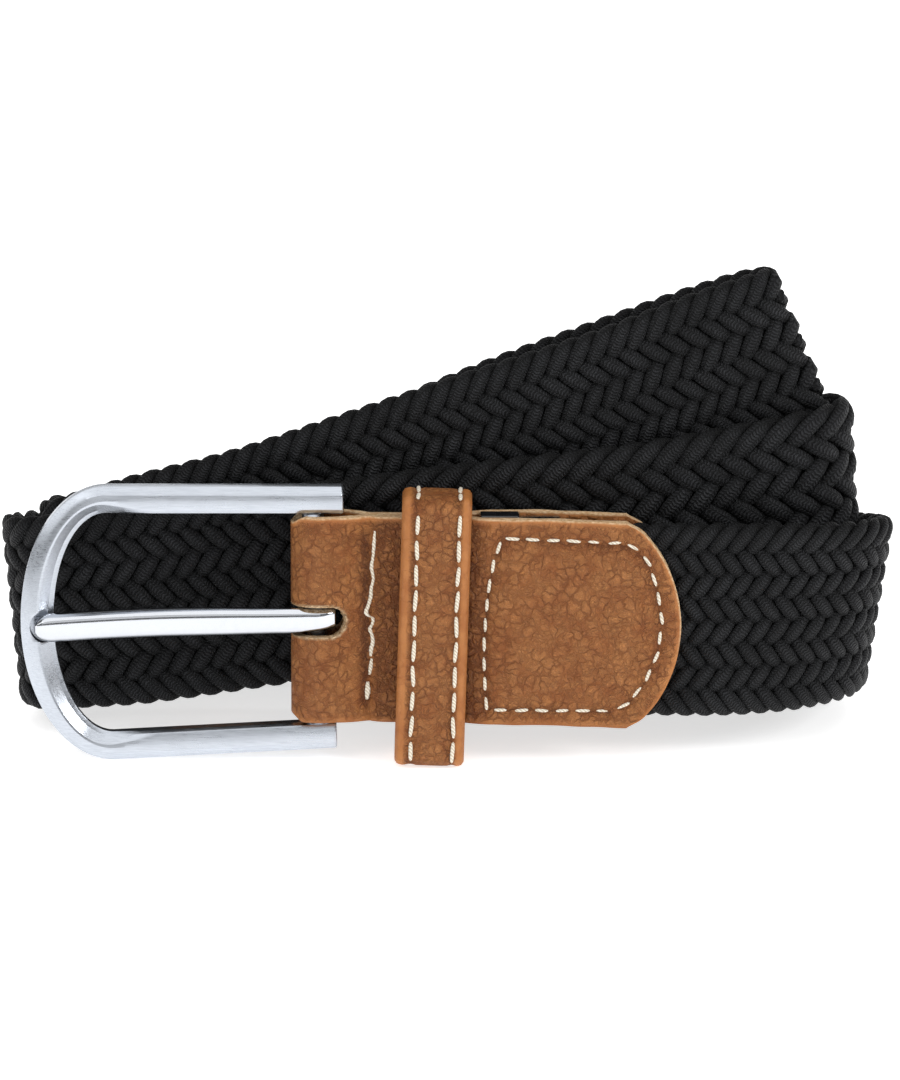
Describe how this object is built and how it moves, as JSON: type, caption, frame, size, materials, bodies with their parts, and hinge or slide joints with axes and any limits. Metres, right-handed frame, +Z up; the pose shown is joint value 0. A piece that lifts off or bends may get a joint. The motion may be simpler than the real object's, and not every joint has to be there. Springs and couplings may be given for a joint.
{
  "type": "belt",
  "caption": "Elastic braided belt with a leather tab, a leather keeper and a horseshoe prong buckle, rolled up and standing on its edge.",
  "frame": {"origin": "on the surface that the belt stands on, under the middle of its outline", "axes": "+Z up, +X along the roll towards its right end, +Y away from the side with the buckle"},
  "size_m": [0.1472, 0.0366, 0.0784],
  "materials": {
    "braid": "matte",
    "leather": "satin",
    "nickel": "brushed",
    "chrome": "polished"
  },
  "bodies": {
    "belt": {"braid_strap": "braid", "tip_cover": "leather", "buckle_tab": "leather", "keeper": "leather"},
    "frame": {"buckle_frame": "nickel"},
    "prong": {"prong": "chrome"}
  },
  "joints": [
    {"name": "frame_hinge", "type": "hinge", "parent": "belt", "child": "frame", "pos_m": [-0.02195, -0.0106, 0.02418], "axis": [-0.0262, 0.1478, 0.9887], "range_deg": [0, 50]},
    {"name": "prong_hinge", "type": "hinge", "parent": "frame", "child": "prong", "pos_m": [-0.02195, -0.0106, 0.02418], "axis": [-0.0262, 0.1478, 0.9887], "range_deg": [0, 40]}
  ]
}
